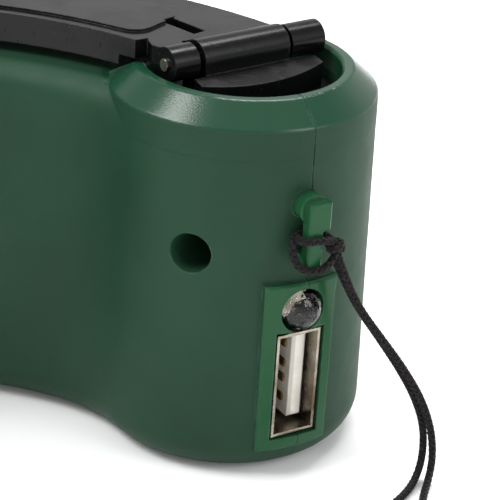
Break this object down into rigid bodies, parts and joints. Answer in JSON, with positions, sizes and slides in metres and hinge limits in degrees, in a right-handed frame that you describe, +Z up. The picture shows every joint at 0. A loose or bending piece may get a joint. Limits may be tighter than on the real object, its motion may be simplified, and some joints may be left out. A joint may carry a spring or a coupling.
{
  "type": "hand crank phone charger",
  "caption": "Crescent-shaped hand crank charger with a folding crank arm, a geared generator, a charging socket, an indicator light and a wrist cord.",
  "frame": {"origin": "on the flat foot, under the middle of the grip", "axes": "+X along the crescent's length towards the crank hub and the socket end, -Y the concave side where the fingers go, +Z up along the crank's axis"},
  "size_m": [0.1235, 0.0908, 0.0483],
  "materials": {
    "green_shell": "fine satin grain",
    "black_gloss": "polished",
    "black_satin": "satin",
    "steel": "plain",
    "bright_steel": "bright nickel",
    "white_plastic": "satin",
    "contact_gold": "plated",
    "clear_lens": "clear moulded",
    "gear_nylon": "natural nylon",
    "brass": "turned",
    "iron": "laminated",
    "magnet": "sintered",
    "copper_coil": "enamelled",
    "board_green": "solder resist",
    "black_part": "moulded",
    "capacitor_sleeve": "shrunk sleeve",
    "wire": "insulated",
    "cord": "braided"
  },
  "bodies": {
    "housing": {"housing_front": "green_shell", "housing_back": "green_shell", "case_screws": "steel", "hub_bush": "brass", "gear_plate_lower": "steel", "gear_plate_upper": "steel", "first_gear_axle": "steel", "second_gear_axle": "steel", "generator_can": "steel", "generator_end_cap": "black_satin", "generator_screws": "steel", "stator_core": "iron", "stator_coils": "copper_coil", "circuit_board": "board_green", "board_screws": "steel", "usb_shell": "bright_steel", "usb_tongue": "white_plastic", "usb_contacts": "contact_gold", "led": "clear_lens", "capacitor": "capacitor_sleeve", "inductor": "black_part", "regulator": "black_part", "rectifier_diodes": "black_part", "generator_leads": "wire", "lanyard_knot": "cord", "lanyard_cord": "cord"},
    "hub": {"crank_hub": "black_satin", "drive_gear": "gear_nylon", "hub_washer": "steel", "hub_screw": "steel"},
    "arm": {"crank_arm": "black_gloss", "hinge_pin": "bright_steel", "knob_axle": "bright_steel"},
    "knob": {"crank_knob": "black_gloss", "knob_cap": "black_gloss"},
    "first_gear": {"first_gear": "gear_nylon"},
    "second_gear": {"second_gear": "gear_nylon"},
    "rotor": {"rotor_shaft": "steel", "rotor_magnet": "magnet", "rotor_pinion": "brass"}
  },
  "joints": [
    {"name": "crank_spin", "type": "hinge", "parent": "housing", "child": "hub", "pos_m": [0.04392, -0.0209, 0.041], "axis": [0, 0, 1], "continuous": true},
    {"name": "arm_fold", "type": "hinge", "parent": "hub", "child": "arm", "pos_m": [0.04374, -0.02051, 0.0461], "axis": [0.9018, 0.4321, 0], "range_deg": [0, 165]},
    {"name": "knob_spin", "type": "hinge", "parent": "arm", "child": "knob", "pos_m": [-0.03954, -0.0184, 0.04], "axis": [0, 0, 1], "continuous": true},
    {"name": "first_gear_spin", "type": "hinge", "parent": "housing", "child": "first_gear", "pos_m": [0.03169, -0.01028, 0.028], "axis": [0, 0, 1], "continuous": true},
    {"name": "second_gear_spin", "type": "hinge", "parent": "housing", "child": "second_gear", "pos_m": [0.02079, -0.00416, 0.028], "axis": [0, 0, 1], "continuous": true},
    {"name": "rotor_spin", "type": "hinge", "parent": "housing", "child": "rotor", "pos_m": [0.00877, -0.00072, 0.012], "axis": [0, 0, 1], "continuous": true}
  ],
  "couplings": [
    {"joint": "first_gear_spin", "follows": "crank_spin", "ratio": -2.8571},
    {"joint": "second_gear_spin", "follows": "crank_spin", "ratio": 7.3469},
    {"joint": "rotor_spin", "follows": "crank_spin", "ratio": -18.892}
  ]
}
